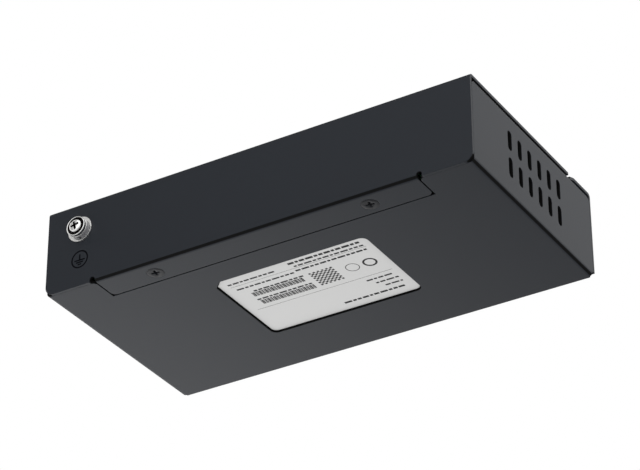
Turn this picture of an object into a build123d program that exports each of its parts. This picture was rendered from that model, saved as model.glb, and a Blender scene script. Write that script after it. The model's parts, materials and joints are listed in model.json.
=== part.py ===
from build123d import *
import os

os.makedirs("parts", exist_ok=True)

# A desktop ethernet switch in a folded sheet-steel case.
# Millimetres. The origin is the centre of the underside and +Z is up.
# The ports face -Y and the rear wall faces +Y.

# Case, outside
case_width = 160.0
case_depth = 83.5
case_height = 32.1
sheet = 1.0  # steel of the tray and of the cover
bend_inside = 0.5  # inside radius of every fold
seam = 0.1  # between two folded edges that close on each other
lap_gap = 0.1  # between two sheets that overlap
wall_drop = 0.05  # from the lip down to the side walls' top edge
wall_corner = 1.5  # rounded top corners of the side walls
corner_relief = 0.1  # how far a relief runs past the folds it frees

# Cover and the front strip that it meets
strip_depth = 11.8  # from the front to where the strip steps down
groove = 4.0  # open groove between the strip and the cover
lip_slope = 3.2  # over which the strip steps down to its lip
lip_lap = 6.0  # of the strip's lip under the cover
lip_side = 1.2  # from the lip's ends to the sides of the case
hook_count = 3
hook_width = 12.0
hook_spacing = 52.0
hook_lap = 5.0  # of the cover's hooks under the strip
hook_side_gap = 0.6
rear_corner = 3.2  # rounded lower corners of the rear wall

# Flange that folds under the floor
flange_width = 120.4
flange_depth = 11.1
flange_gap = 0.5  # line around the flange
flange_corner = 1.8
flange_mouth = 1.8  # rounded corners of the floor where the flange comes in
relief_width = 2.0
relief_height = 1.9

# Vent slots
vent_columns = 6
vent_rows = 2
vent_pitch = 6.74
vent_level_pitch = 10.05
vent_length = 7.3
vent_width = 2.7
vent_shift = 0.8  # of the field towards the front

# Rating label and its pressed recess
label_length = 57.0
label_width = 37.8
label_thickness = 0.15
label_corner = 2.0
label_cut_corner = 2.8
label_gap = 0.4
label_shift = 0.45  # towards the rear
recess_depth = 0.8

# Countersunk cover screws, M3
cover_screw_spacing = 80.6
cover_screw_inset = 6.2  # from the rear wall
screw_radius = 1.5
screw_length = 6.0
flat_head_radius = 3.0
screw_gap = 0.05  # beside a thread or under a conical head
recess_span = 3.2
recess_bar = 0.8
recess_cut = 1.1

# Tapped strip welded behind the flange
strip_plate = 1.2
strip_length = 104.0
strip_width = 15.0
strip_inset = 3.0  # from the rear wall
strip_corner = 2.0
collar_radius = 2.7
collar_height = 2.0

# Ground screw, M4, with its washers and nut
ground_side = 13.4  # from the side of the case
ground_height = 21.4
ground_radius = 2.0
ground_length = 8.0
ground_head_radius = 3.6
ground_head_height = 2.2
ground_head_round = 0.9
ground_recess_span = 3.4
ground_recess_bar = 0.9
ground_recess_cut = 1.4
spring_washer_radius = 3.4
spring_washer_height = 1.0
spring_washer_slit = 0.5
flat_washer_radius = 4.6
flat_washer_height = 0.8
washer_gap = 0.2
nut_shank_radius = 2.7
nut_radius = 4.0
nut_height = 3.0

# Circuit board and what carries it
board_front_gap = 0.75
board_side_gap = 4.0
board_rear_gap = 4.75
board_thickness = 1.6
board_corner = 2.0
standoff_height = 6.0
standoff_radius = 2.75
standoff_floor = 0.5
standoff_side = 3.5  # from the board's side edge
standoff_front = 26.0  # from the board's front edge
standoff_rear = 5.0  # from the board's rear edge
board_hole_gap = 0.1
board_screw_length = 6.0
pan_head_radius = 2.8
pan_head_height = 1.9
pan_head_round = 0.8

# Port blocks, four sockets side by side
port_count = 4
port_pitch = 13.97
port_end = 0.6  # added at both ends of a block
block_gap = 1.4  # between the two blocks
block_shift = 4.0  # of both blocks away from the power inlet
block_height = 13.4
block_depth = 18.0
panel_setback = 0.2  # of the blocks' face behind the front
panel_gap = 0.25  # around what fills a cut-out of the front
cutout_corner = 0.5
shield_sheet = 0.3
shield_window_gap = 0.25
cavity_width = 11.9
cavity_height = 6.9
cavity_bottom = 4.6  # above the board
cavity_depth = 13.6
latch_width = 6.3
latch_height = 1.5
latch_nose_width = 3.6
latch_nose_height = 1.5
leg_width = 1.2
leg_length = 2.6
leg_inset = 4.5  # from the front and the back of a block
leg_gap = 0.15

# Contact springs of a socket
contact_count = 8
contact_pitch = 1.02
contact_width = 0.45
contact_sheet = 0.35
contact_start = 2.0  # behind the mouth
contact_pad = 1.2
contact_reach = 8.4
contact_drop = 1.6

# Power inlet
inlet_gap = 3.2  # from the port block
inlet_width = 9.0
inlet_height = 11.0
inlet_depth = 14.2
inlet_round = 4.4
inlet_axis = 6.5  # above the board
inlet_bore = 3.15
inlet_bore_depth = 10.0
inlet_pin = 1.05
inlet_pin_length = 9.0
terminal_width = 2.4
terminal_sheet = 0.5
terminal_pitch = 4.5
terminal_length = 2.8

# Indicator lights
light_gap = 1.4  # behind the port blocks
light_section = 2.6
light_end = 1.3
light_hole_gap = 0.2
light_air = 0.3  # above an indicator
light_bar_height = 9.4  # above the board
light_bar = 2.0
light_post = 1.2
light_peg = 0.7
light_post_inset = 3.0
light_post_step = 4.0  # of the lone guide's post behind its column
light_side = 3.7  # of the lone guide beside the port block
led_length = 1.6
led_width = 0.8
led_height = 0.7

# Transformers behind the ports
transformer_length = 15.0
transformer_width = 7.1
transformer_height = 5.6
transformer_seat = 0.2
transformer_row = 6.8  # behind the indicators
transformer_bevel = 0.4
lead_count = 12
lead_pitch = 1.15
lead_width = 0.4
lead_sheet = 0.25
lead_reach = 0.9
lead_foot = 0.8
lead_height = 2.4

# Switching chip and its cooling
chip_side = 14.0
chip_height = 1.2
chip_bevel = 0.25
chip_back = 18.0  # behind the transformers
chip_shift = -6.0
pad_side = 13.0
pad_height = 0.5
sink_side = 22.0
sink_base = 2.0
sink_height = 9.0
fin_count = 7
fin_sheet = 1.2

# Other parts on the board
crystal_length = 11.4
crystal_width = 4.7
crystal_height = 3.5
crystal_gap = 5.0
memory_length = 5.0
memory_width = 4.0
memory_height = 1.5
memory_gap = 9.0
regulator_length = 4.9
regulator_width = 3.9
power_side = 7.0  # of the power parts beside the inlet's axis
power_back = 7.0  # of the power parts behind the transformers' axis
power_gap = 1.5  # between the power parts
inductor_side = 7.0
inductor_height = 4.0
inductor_corner = 1.8
capacitor_radius = 3.15
capacitor_height = 7.7
capacitor_pitch = 8.0
capacitor_base = 6.6
capacitor_base_height = 1.0
ceramic_length = 1.6
ceramic_width = 0.8
ceramic_height = 0.8
ceramic_ring_radius = 14.5
ceramic_count = 16

# Planes and levels worked out from the sizes above
bend_middle = bend_inside + sheet / 2
bend_outside = bend_inside + sheet
relief = bend_outside + corner_relief
rear_y = case_depth / 2
front_y = -case_depth / 2
side_x = case_width / 2
roof_z = case_height - sheet / 2
step = sheet + lap_gap
lip_bottom = case_height - sheet - step
wall_top = lip_bottom - wall_drop
wall_front = front_y + sheet + seam
wall_rear = rear_y - sheet - seam
strip_back = front_y + strip_depth
cover_front = strip_back + groove
flange_front = rear_y - flange_depth
cover_screw_y = rear_y - cover_screw_inset
screw_cone_gap = screw_radius + screw_gap
board_bottom = sheet + standoff_height
board_top = board_bottom + board_thickness
board_front = front_y + sheet + board_front_gap
board_depth = case_depth - 2 * sheet - board_front_gap - board_rear_gap
board_width = case_width - 2 * (sheet + board_side_gap)
board_y = board_front + board_depth / 2
block_face = front_y + panel_setback
block_width = port_count * port_pitch + 2 * port_end
block_top = board_top + block_height
block_back = block_face + block_depth
left_block_x = -block_shift - (block_width + block_gap) / 2
right_block_x = -block_shift + (block_width + block_gap) / 2
cavity_floor = board_top + cavity_bottom
cavity_roof = cavity_floor + cavity_height
inlet_x = right_block_x + block_width / 2 + inlet_gap + inlet_width / 2
inlet_z = board_top + inlet_axis
light_z = (block_top + lip_bottom) / 2
light_y = block_back + light_gap + light_section / 2
lone_light_x = left_block_x - block_width / 2 - light_side
transformer_y = light_y + transformer_row + transformer_width / 2
chip_y = transformer_y + chip_back
chip_top = board_top + chip_height
ground_x = side_x - ground_side
power_x = inlet_x - power_side
power_y = transformer_y + power_back

block_places = {"left": left_block_x, "right": right_block_x}
port_places = {
    side: [x + (n - (port_count - 1) / 2) * port_pitch for n in range(port_count)]
    for side, x in block_places.items()
}
all_port_x = port_places["left"] + port_places["right"]


def port_outline(gap):
    """The mouth of one socket from the front: the plug's opening and the latch's two steps below it."""
    with BuildSketch(mode=Mode.PRIVATE) as mouth:
        with Locations((0, cavity_floor + cavity_height / 2)):
            Rectangle(cavity_width + 2 * gap, cavity_height + 2 * gap)
        with Locations((0, cavity_floor - gap)):
            Rectangle(latch_width + 2 * gap, latch_height, align=(Align.CENTER, Align.MAX))
        with Locations((0, cavity_floor - gap - latch_height)):
            Rectangle(latch_nose_width + 2 * gap, latch_nose_height, align=(Align.CENTER, Align.MAX))
    return mouth.sketch


def inlet_outline(gap):
    """The power inlet from the front: straight sides under an arched top."""
    with BuildSketch(mode=Mode.PRIVATE) as face:
        with Locations((0, board_top - gap)):
            Rectangle(inlet_width + 2 * gap, inlet_height + 2 * gap, align=(Align.CENTER, Align.MIN))
        fillet(face.vertices().group_by(Axis.Y)[-1], inlet_round)
    return face.sketch


def cross_outline(span, bar):
    """The cross of a screw's driver recess."""
    with BuildSketch(mode=Mode.PRIVATE) as cross:
        Rectangle(span, bar)
        Rectangle(bar, span)
    return cross.sketch


def label_outline(gap):
    """The label's shape seen from above: three round corners and one cut off."""
    with BuildSketch(mode=Mode.PRIVATE) as outline:
        Rectangle(label_length, label_width)
        chamfer(outline.vertices().sort_by(Axis((0, 0, 0), (1, 1, 0)))[-1], label_cut_corner)
        fillet(outline.vertices().sort_by(Axis((0, 0, 0), (1, 1, 0)))[:3], label_corner)
        if gap:
            offset(amount=gap)
    return outline.sketch


# Base tray: floor, side walls and front wall, with the strip that folds back over the top of the front
with BuildPart() as base_tray:
    with BuildSketch(Plane.XZ.offset(-wall_rear)):
        with BuildLine():
            FilletPolyline(
                (-side_x + sheet / 2, wall_top),
                (-side_x + sheet / 2, sheet / 2),
                (side_x - sheet / 2, sheet / 2),
                (side_x - sheet / 2, wall_top),
                radius=bend_middle,
            )
        trace(line_width=sheet)
    extrude(amount=wall_rear - front_y - bend_outside)
    with BuildSketch(Plane.XZ.offset(-(front_y + bend_outside))):
        with Locations((side_x - sheet / 2, relief), (-side_x + sheet / 2, relief)):
            Rectangle(sheet, wall_top - relief, align=(Align.CENTER, Align.MIN))
    extrude(amount=front_y + bend_outside - wall_front)
    fillet(base_tray.edges().filter_by(Axis.X).group_by(Axis.Z)[-1], wall_corner)
    with BuildSketch(Plane.YZ):
        with BuildLine():
            FilletPolyline(
                (front_y + relief, sheet / 2),
                (front_y + sheet / 2, sheet / 2),
                (front_y + sheet / 2, roof_z),
                (strip_back, roof_z),
                (strip_back + lip_slope, roof_z - step),
                (cover_front + lip_lap, roof_z - step),
                radius=bend_middle,
            )
        trace(line_width=sheet)
    extrude(amount=side_x, both=True)
    # Reliefs where the floor's three folds meet at a front corner
    with BuildSketch(Plane.XY):
        with Locations((side_x, front_y), (-side_x, front_y)):
            Rectangle(2 * relief, 2 * relief)
    extrude(amount=relief, mode=Mode.SUBTRACT)
    # Opening of the floor for the cover's flange, with rounded corners at its mouth
    with BuildSketch(Plane.XY):
        with Locations((0, flange_front - flange_gap)):
            Rectangle(flange_width + 2 * flange_gap, flange_depth, align=(Align.CENTER, Align.MIN))
    extrude(amount=2 * sheet, mode=Mode.SUBTRACT)
    rear_edges = base_tray.edges().filter_by(Axis.Z).group_by(Axis.Y)[-1]
    mouth_edges = rear_edges.filter_by_position(Axis.X, -side_x + bend_outside, side_x - bend_outside)
    fillet(mouth_edges, flange_mouth)
    # Notches of the lip that let the cover's hooks through
    with BuildSketch(Plane.XY.offset(lip_bottom - sheet)):
        with Locations((0, strip_back - sheet)):
            with GridLocations(hook_spacing, 0, hook_count, 1):
                Rectangle(
                    hook_width + 2 * hook_side_gap,
                    groove + lip_lap + 2 * sheet,
                    align=(Align.CENTER, Align.MIN),
                )
    extrude(amount=case_height - lip_bottom + sheet, mode=Mode.SUBTRACT)
    # The lip ends short of the sides, behind its slope
    with BuildSketch(Plane.XY.offset(wall_top)):
        with Locations((side_x, strip_back + lip_slope), (-side_x, strip_back + lip_slope)):
            Rectangle(2 * lip_side, groove + lip_lap, align=(Align.CENTER, Align.MIN))
    extrude(amount=case_height - wall_top, mode=Mode.SUBTRACT)
    # Vent slots through both side walls
    with BuildSketch(Plane.YZ):
        with Locations((-vent_shift, case_height / 2)):
            with GridLocations(vent_pitch, vent_level_pitch, vent_columns, vent_rows):
                SlotOverall(vent_length, vent_width, rotation=90)
    extrude(amount=side_x, both=True, mode=Mode.SUBTRACT)
    # Cut-outs of the front wall for the port blocks, the inlet and the lights
    with BuildSketch(Plane.XZ.offset(-front_y)):
        with Locations(*[(x, board_top + block_height / 2) for x in block_places.values()]):
            RectangleRounded(block_width + 2 * panel_gap, block_height + 2 * panel_gap, cutout_corner)
        with Locations((inlet_x, 0)):
            add(inlet_outline(panel_gap))
        with Locations(*[(x, light_z) for x in all_port_x + [lone_light_x]]):
            Circle(light_end + light_hole_gap)
    extrude(amount=-sheet, mode=Mode.SUBTRACT)
    # Pressed recess for the label: a pocket below and the same outline raised inside
    with BuildSketch(Plane.XY.offset(sheet)):
        with Locations((0, label_shift)):
            add(label_outline(label_gap))
    extrude(amount=recess_depth)
    with BuildSketch(Plane.XY):
        with Locations((0, label_shift)):
            add(label_outline(label_gap))
    extrude(amount=recess_depth, mode=Mode.SUBTRACT)
base_tray.part.label = "base_tray"
export_step(base_tray.part, "parts/base_tray.step")

# Top cover: top, rear wall and the flange that folds under the floor
with BuildPart() as top_cover:
    with BuildSketch(Plane.YZ):
        with BuildLine():
            FilletPolyline(
                (cover_front, roof_z),
                (rear_y - sheet / 2, roof_z),
                (rear_y - sheet / 2, 0),
                radius=bend_middle,
            )
        trace(line_width=sheet)
    extrude(amount=side_x, both=True)
    fillet(top_cover.edges().filter_by(Axis.Y).group_by(Axis.Z)[0], rear_corner)
    # The flange's width is cleared, with a relief at each end of its fold
    with BuildSketch(Plane.XZ.offset(-rear_y)):
        Rectangle(flange_width, 2 * bend_outside)
        with GridLocations(flange_width + relief_width, 0, 2, 1):
            SlotOverall(2 * relief_height, relief_width, rotation=90)
    extrude(amount=sheet, mode=Mode.SUBTRACT)
    with BuildSketch(Plane.YZ):
        with BuildLine():
            FilletPolyline(
                (rear_y - sheet / 2, 2 * bend_outside),
                (rear_y - sheet / 2, sheet / 2),
                (flange_front, sheet / 2),
                radius=bend_middle,
            )
        trace(line_width=sheet)
    extrude(amount=flange_width / 2, both=True)
    flange_ends = top_cover.edges().filter_by(Axis.Z).filter_by_position(
        Axis.Y, flange_front - seam, flange_front + seam
    )
    fillet(flange_ends, flange_corner)
    # Hooks that step down from the cover's front edge and catch under the strip
    with BuildSketch(Plane.XY.offset(case_height)):
        with Locations((0, cover_front)):
            with GridLocations(hook_spacing, 0, hook_count, 1):
                Rectangle(hook_width, 2 * sheet)
    extrude(amount=-sheet, mode=Mode.SUBTRACT)
    for n in range(hook_count):
        hook_x = (n - (hook_count - 1) / 2) * hook_spacing
        with BuildSketch(Plane.YZ.offset(hook_x - hook_width / 2)):
            with BuildLine():
                FilletPolyline(
                    (cover_front + 2 * sheet, roof_z),
                    (cover_front, roof_z),
                    (cover_front - step, roof_z - step),
                    (strip_back - hook_lap, roof_z - step),
                    radius=bend_middle,
                )
            trace(line_width=sheet)
        extrude(amount=hook_width)
    # Hole that the ground nut's shank is pressed into
    with BuildSketch(Plane.XZ.offset(-rear_y)):
        with Locations((ground_x, ground_height)):
            Circle(nut_shank_radius)
    extrude(amount=sheet, mode=Mode.SUBTRACT)
    # Conical seats of the two cover screws
    with Locations(Plane((0, cover_screw_y, 0), z_dir=(0, 0, -1))):
        with GridLocations(cover_screw_spacing, 0, 2, 1):
            CounterSinkHole(
                screw_cone_gap,
                flat_head_radius + screw_gap,
                depth=sheet,
                counter_sink_angle=90,
            )
top_cover.part.label = "top_cover"
export_step(top_cover.part, "parts/top_cover.step")

# Nut strip: a plate with two drawn collars, welded to the floor behind the flange's edge
with BuildPart() as nut_strip:
    with BuildSketch(Plane.XY.offset(sheet)):
        with Locations((0, rear_y - strip_inset - strip_width / 2)):
            RectangleRounded(strip_length, strip_width, strip_corner)
    extrude(amount=strip_plate)
    with BuildSketch(Plane.XY.offset(sheet + strip_plate)):
        with Locations((0, cover_screw_y)):
            with GridLocations(cover_screw_spacing, 0, 2, 1):
                Circle(collar_radius)
    extrude(amount=collar_height)
    # The screws' cones run on into the plate below the threads
    with Locations(Plane((0, cover_screw_y, sheet), z_dir=(0, 0, -1))):
        with GridLocations(cover_screw_spacing, 0, 2, 1):
            CounterSinkHole(
                screw_cone_gap,
                flat_head_radius + screw_gap - sheet,
                depth=strip_plate + collar_height,
                counter_sink_angle=90,
            )
nut_strip.part.label = "nut_strip"
export_step(nut_strip.part, "parts/nut_strip.step")

# Countersunk cover screws: heads flush with the flange
with BuildPart() as cover_screws:
    with Locations((0, cover_screw_y)):
        with GridLocations(cover_screw_spacing, 0, 2, 1):
            Cylinder(screw_radius, screw_length, align=(Align.CENTER, Align.CENTER, Align.MIN))
            Cone(
                flat_head_radius,
                screw_radius,
                flat_head_radius - screw_radius,
                align=(Align.CENTER, Align.CENTER, Align.MIN),
            )
    with BuildSketch(Plane.XY):
        with Locations((0, cover_screw_y)):
            with GridLocations(cover_screw_spacing, 0, 2, 1):
                add(cross_outline(recess_span, recess_bar))
    extrude(amount=recess_cut, mode=Mode.SUBTRACT)
cover_screws.part.label = "cover_screws"
export_step(cover_screws.part, "parts/cover_screws.step")

# Ground fittings, stacked along +Y from the rear wall's outer face
spring_washer_y = rear_y + flat_washer_height
head_y = spring_washer_y + spring_washer_height
with BuildPart() as ground_flat_washer:
    with BuildSketch(Plane.XZ.offset(-rear_y)):
        with Locations((ground_x, ground_height)):
            Circle(flat_washer_radius)
            Circle(ground_radius + washer_gap, mode=Mode.SUBTRACT)
    extrude(amount=-flat_washer_height)
ground_flat_washer.part.label = "ground_flat_washer"
export_step(ground_flat_washer.part, "parts/ground_flat_washer.step")

with BuildPart() as ground_spring_washer:
    with BuildSketch(Plane.XZ.offset(-spring_washer_y)):
        with Locations((ground_x, ground_height)):
            Circle(spring_washer_radius)
            Circle(ground_radius + washer_gap, mode=Mode.SUBTRACT)
    extrude(amount=-spring_washer_height)
    # The slit that makes it spring runs across the ring at a slant
    with BuildSketch(Plane.XY.offset(ground_height)):
        with BuildLine():
            Line(
                (ground_x - spring_washer_slit, spring_washer_y - seam),
                (ground_x + spring_washer_slit, head_y + seam),
            )
        trace(line_width=spring_washer_slit)
    extrude(amount=-2 * spring_washer_radius, mode=Mode.SUBTRACT)
ground_spring_washer.part.label = "ground_spring_washer"
export_step(ground_spring_washer.part, "parts/ground_spring_washer.step")

crown_y = head_y + ground_head_height
tip_y = head_y - ground_length
head_side_x = ground_x + ground_head_radius
with BuildPart() as ground_screw:
    with BuildSketch(Plane.XY.offset(ground_height)):
        with BuildLine():
            Polyline(
                (head_side_x - ground_head_round, crown_y),
                (ground_x, crown_y),
                (ground_x, tip_y),
                (ground_x + ground_radius, tip_y),
                (ground_x + ground_radius, head_y),
                (head_side_x, head_y),
                (head_side_x, crown_y - ground_head_round),
            )
            RadiusArc(
                (head_side_x, crown_y - ground_head_round),
                (head_side_x - ground_head_round, crown_y),
                -ground_head_round,
            )
        make_face()
    revolve(axis=Axis((ground_x, 0, ground_height), (0, 1, 0)))
    with BuildSketch(Plane.XZ.offset(-crown_y)):
        with Locations((ground_x, ground_height)):
            add(cross_outline(ground_recess_span, ground_recess_bar))
    extrude(amount=ground_recess_cut, mode=Mode.SUBTRACT)
ground_screw.part.label = "ground_screw"
export_step(ground_screw.part, "parts/ground_screw.step")

with BuildPart() as ground_clinch_nut:
    with BuildSketch(Plane.XZ.offset(-rear_y)):
        with Locations((ground_x, ground_height)):
            Circle(nut_shank_radius)
    extrude(amount=sheet)
    with BuildSketch(Plane.XZ.offset(-(rear_y - sheet))):
        with Locations((ground_x, ground_height)):
            Circle(nut_radius)
    extrude(amount=nut_height)
    with BuildSketch(Plane.XZ.offset(-rear_y)):
        with Locations((ground_x, ground_height)):
            Circle(ground_radius + screw_gap)
    extrude(amount=sheet + nut_height, mode=Mode.SUBTRACT)
ground_clinch_nut.part.label = "ground_clinch_nut"
export_step(ground_clinch_nut.part, "parts/ground_clinch_nut.step")

# Rating label in its recess
with BuildPart() as rating_label:
    with BuildSketch(Plane.XY.offset(recess_depth)):
        with Locations((0, label_shift)):
            add(label_outline(0))
    extrude(amount=-label_thickness)
rating_label.part.label = "rating_label"
export_step(rating_label.part, "parts/rating_label.step")

# Standoffs, board and screws share these four places
standoff_x = board_width / 2 - standoff_side
standoff_places = [
    (x, y)
    for x in (-standoff_x, standoff_x)
    for y in (board_front + standoff_front, board_front + board_depth - standoff_rear)
]
with BuildPart() as board_standoffs:
    with BuildSketch(Plane.XY.offset(sheet)):
        with Locations(*standoff_places):
            RegularPolygon(standoff_radius, 6, major_radius=False)
    extrude(amount=standoff_height)
    with BuildSketch(Plane.XY.offset(board_bottom)):
        with Locations(*standoff_places):
            Circle(screw_radius + screw_gap)
    extrude(amount=-(standoff_height - standoff_floor), mode=Mode.SUBTRACT)
board_standoffs.part.label = "board_standoffs"
export_step(board_standoffs.part, "parts/board_standoffs.step")

with BuildPart() as board_screws:
    with BuildSketch(Plane.XY.offset(board_top)):
        with Locations(*standoff_places):
            Circle(pan_head_radius)
    extrude(amount=pan_head_height)
    fillet(board_screws.edges().filter_by(GeomType.CIRCLE).group_by(Axis.Z)[-1], pan_head_round)
    with BuildSketch(Plane.XY.offset(board_top)):
        with Locations(*standoff_places):
            Circle(screw_radius)
    extrude(amount=-board_screw_length)
    with BuildSketch(Plane.XY.offset(board_top + pan_head_height)):
        with Locations(*standoff_places):
            add(cross_outline(recess_span, recess_bar))
    extrude(amount=-recess_cut, mode=Mode.SUBTRACT)
board_screws.part.label = "board_screws"
export_step(board_screws.part, "parts/board_screws.step")

# Shield legs, guide pegs and inlet terminals go through the board
leg_places = {
    side: [
        (x + hand * (block_width - shield_sheet) / 2, y)
        for hand in (-1, 1)
        for y in (block_face + leg_inset, block_back - leg_inset)
    ]
    for side, x in block_places.items()
}
peg_reach = block_width / 2 - light_post_inset
peg_places = {side: [(x - peg_reach, light_y), (x + peg_reach, light_y)] for side, x in block_places.items()}
peg_places["power"] = [(lone_light_x, light_y + light_post_step)]
terminal_y = block_face + inlet_depth - terminal_width
terminal_places = [
    (inlet_x - terminal_pitch / 2, terminal_y - terminal_pitch),
    (inlet_x, terminal_y),
    (inlet_x + terminal_pitch / 2, terminal_y - terminal_pitch),
]
with BuildPart() as circuit_board:
    with BuildSketch(Plane.XY.offset(board_bottom)):
        with Locations((0, board_y)):
            RectangleRounded(board_width, board_depth, board_corner)
        with Locations(*standoff_places):
            Circle(screw_radius + board_hole_gap, mode=Mode.SUBTRACT)
        with Locations(*[place for places in leg_places.values() for place in places]):
            Rectangle(shield_sheet + 2 * leg_gap, leg_width + 2 * leg_gap, mode=Mode.SUBTRACT)
        with Locations(*[place for places in peg_places.values() for place in places]):
            Circle(light_peg + board_hole_gap, mode=Mode.SUBTRACT)
        with Locations(*terminal_places):
            Rectangle(terminal_sheet + 2 * leg_gap, terminal_width + 2 * leg_gap, mode=Mode.SUBTRACT)
    extrude(amount=board_thickness)
circuit_board.part.label = "circuit_board"
export_step(circuit_board.part, "parts/circuit_board.step")

# Port blocks: a moulded housing with four sockets, a folded shield around it and the contact springs inside
housing_face = block_face + shield_sheet
spring_y = housing_face + contact_start
contact_places = {
    side: [x + (n - (contact_count - 1) / 2) * contact_pitch for x in places for n in range(contact_count)]
    for side, places in port_places.items()
}
for side, block_x in block_places.items():
    with BuildPart() as jack_housing:
        with BuildSketch(Plane.XZ.offset(-housing_face)):
            with Locations((block_x, board_top)):
                Rectangle(
                    block_width - 2 * shield_sheet,
                    block_height - shield_sheet,
                    align=(Align.CENTER, Align.MIN),
                )
        extrude(amount=-(block_depth - 2 * shield_sheet))
        with BuildSketch(Plane.XZ.offset(-housing_face)):
            with Locations(*[(x, 0) for x in port_places[side]]):
                add(port_outline(0))
        extrude(amount=-cavity_depth, mode=Mode.SUBTRACT)
    jack_housing.part.label = side + "_jack_housing"
    export_step(jack_housing.part, "parts/" + side + "_jack_housing.step")

    with BuildPart() as jack_shield:
        with BuildSketch(Plane.XZ.offset(-block_face)):
            with Locations((block_x, board_top)):
                Rectangle(block_width, block_height, align=(Align.CENTER, Align.MIN))
        extrude(amount=-block_depth)
        fillet(jack_shield.edges().filter_by(Axis.Y).group_by(Axis.Z)[-1], 2 * shield_sheet)
        with BuildSketch(Plane.XZ.offset(-housing_face)):
            with Locations((block_x, board_top)):
                Rectangle(
                    block_width - 2 * shield_sheet,
                    block_height - shield_sheet,
                    align=(Align.CENTER, Align.MIN),
                )
        extrude(amount=-(block_depth - 2 * shield_sheet), mode=Mode.SUBTRACT)
        with BuildSketch(Plane.XZ.offset(-block_face)):
            with Locations(*[(x, 0) for x in port_places[side]]):
                add(port_outline(shield_window_gap))
        extrude(amount=-shield_sheet, mode=Mode.SUBTRACT)
        with BuildSketch(Plane.XY.offset(board_top)):
            with Locations(*leg_places[side]):
                Rectangle(shield_sheet, leg_width)
        extrude(amount=-leg_length)
    jack_shield.part.label = side + "_jack_shield"
    export_step(jack_shield.part, "parts/" + side + "_jack_shield.step")

    with BuildPart() as jack_contacts:
        with BuildSketch(*[Plane.YZ.offset(x - contact_width / 2) for x in contact_places[side]]):
            with BuildLine():
                Polyline(
                    (spring_y, cavity_roof - contact_sheet / 2),
                    (spring_y + contact_pad, cavity_roof - contact_sheet / 2),
                    (spring_y + contact_pad + contact_reach, cavity_roof - contact_drop),
                )
            trace(line_width=contact_sheet)
        extrude(amount=contact_width)
    jack_contacts.part.label = side + "_jack_contacts"
    export_step(jack_contacts.part, "parts/" + side + "_jack_contacts.step")

# Power inlet with its centre pin and terminals
with BuildPart() as dc_jack:
    with BuildSketch(Plane.XZ.offset(-block_face)):
        with Locations((inlet_x, 0)):
            add(inlet_outline(0))
    extrude(amount=-inlet_depth)
    with BuildSketch(Plane.XZ.offset(-block_face)):
        with Locations((inlet_x, inlet_z)):
            Circle(inlet_bore)
    extrude(amount=-inlet_bore_depth, mode=Mode.SUBTRACT)
dc_jack.part.label = "dc_jack"
export_step(dc_jack.part, "parts/dc_jack.step")

with BuildPart() as dc_jack_pin:
    with BuildSketch(Plane.XZ.offset(-(block_face + inlet_bore_depth))):
        with Locations((inlet_x, inlet_z)):
            Circle(inlet_pin)
    extrude(amount=inlet_pin_length)
    fillet(dc_jack_pin.edges().group_by(Axis.Y)[0], inlet_pin / 2)
dc_jack_pin.part.label = "dc_jack_pin"
export_step(dc_jack_pin.part, "parts/dc_jack_pin.step")

with BuildPart() as dc_jack_terminals:
    with BuildSketch(Plane.XY.offset(board_top)):
        with Locations(*terminal_places):
            Rectangle(terminal_sheet, terminal_width)
    extrude(amount=-terminal_length)
dc_jack_terminals.part.label = "dc_jack_terminals"
export_step(dc_jack_terminals.part, "parts/dc_jack_terminals.step")

# Light guides: clear arms that carry each indicator's light forward over the port blocks to the front
arm_top = light_z + light_section / 2
column_bottom = board_top + led_height + light_air
guide_columns = {"left": port_places["left"], "right": port_places["right"], "power": [lone_light_x]}
for name, columns in guide_columns.items():
    with BuildPart() as light_guide:
        for x in columns:
            with BuildSketch(Plane.YZ.offset(x - light_section / 2)):
                with BuildLine():
                    Polyline(
                        (wall_front, arm_top),
                        (wall_front, arm_top - light_section),
                        (light_y - light_section / 2, arm_top - light_section),
                        (light_y - light_section / 2, column_bottom),
                        (light_y + light_section / 2, column_bottom),
                        (light_y + light_section / 2, arm_top - light_section),
                        (light_y - light_section / 2, arm_top),
                        close=True,
                    )
                make_face()
            extrude(amount=light_section)
        with BuildSketch(Plane.XZ.offset(-wall_front)):
            with Locations(*[(x, light_z) for x in columns]):
                Circle(light_end)
        extrude(amount=wall_front - front_y)
        pegs = peg_places[name]
        low_x = min([x for x, y in pegs] + columns) - light_post
        high_x = max([x for x, y in pegs] + columns) + light_post
        high_y = max([y for x, y in pegs]) + light_post
        with BuildSketch(Plane.XY.offset(board_top + light_bar_height)):
            with Locations((low_x, light_y - light_section / 2)):
                Rectangle(
                    high_x - low_x,
                    high_y - light_y + light_section / 2,
                    align=(Align.MIN, Align.MIN),
                )
        extrude(amount=light_bar)
        with BuildSketch(Plane.XY.offset(board_top)):
            with Locations(*pegs):
                Circle(light_post)
        extrude(amount=light_bar_height)
        with BuildSketch(Plane.XY.offset(board_top)):
            with Locations(*pegs):
                Circle(light_peg)
        extrude(amount=-board_thickness)
    light_guide.part.label = name + "_light_guide"
    export_step(light_guide.part, "parts/" + name + "_light_guide.step")

with BuildPart() as indicator_leds:
    with BuildSketch(Plane.XY.offset(board_top)):
        with Locations(*[(x, light_y) for x in all_port_x + [lone_light_x]]):
            Rectangle(led_length, led_width)
    extrude(amount=led_height)
indicator_leds.part.label = "indicator_leds"
export_step(indicator_leds.part, "parts/indicator_leds.step")

# Transformers, each between the ports and the switching chip for two ports, with their bent leads
transformer_places = [
    (x + half * port_pitch, transformer_y) for x in block_places.values() for half in (-1, 1)
]
with BuildPart() as lan_transformers:
    with BuildSketch(Plane.XY.offset(board_top + transformer_seat)):
        with Locations(*transformer_places):
            Rectangle(transformer_length, transformer_width)
    extrude(amount=transformer_height)
    chamfer(lan_transformers.edges().group_by(Axis.Z)[-1], transformer_bevel)
lan_transformers.part.label = "lan_transformers"
export_step(lan_transformers.part, "parts/lan_transformers.step")

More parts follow.
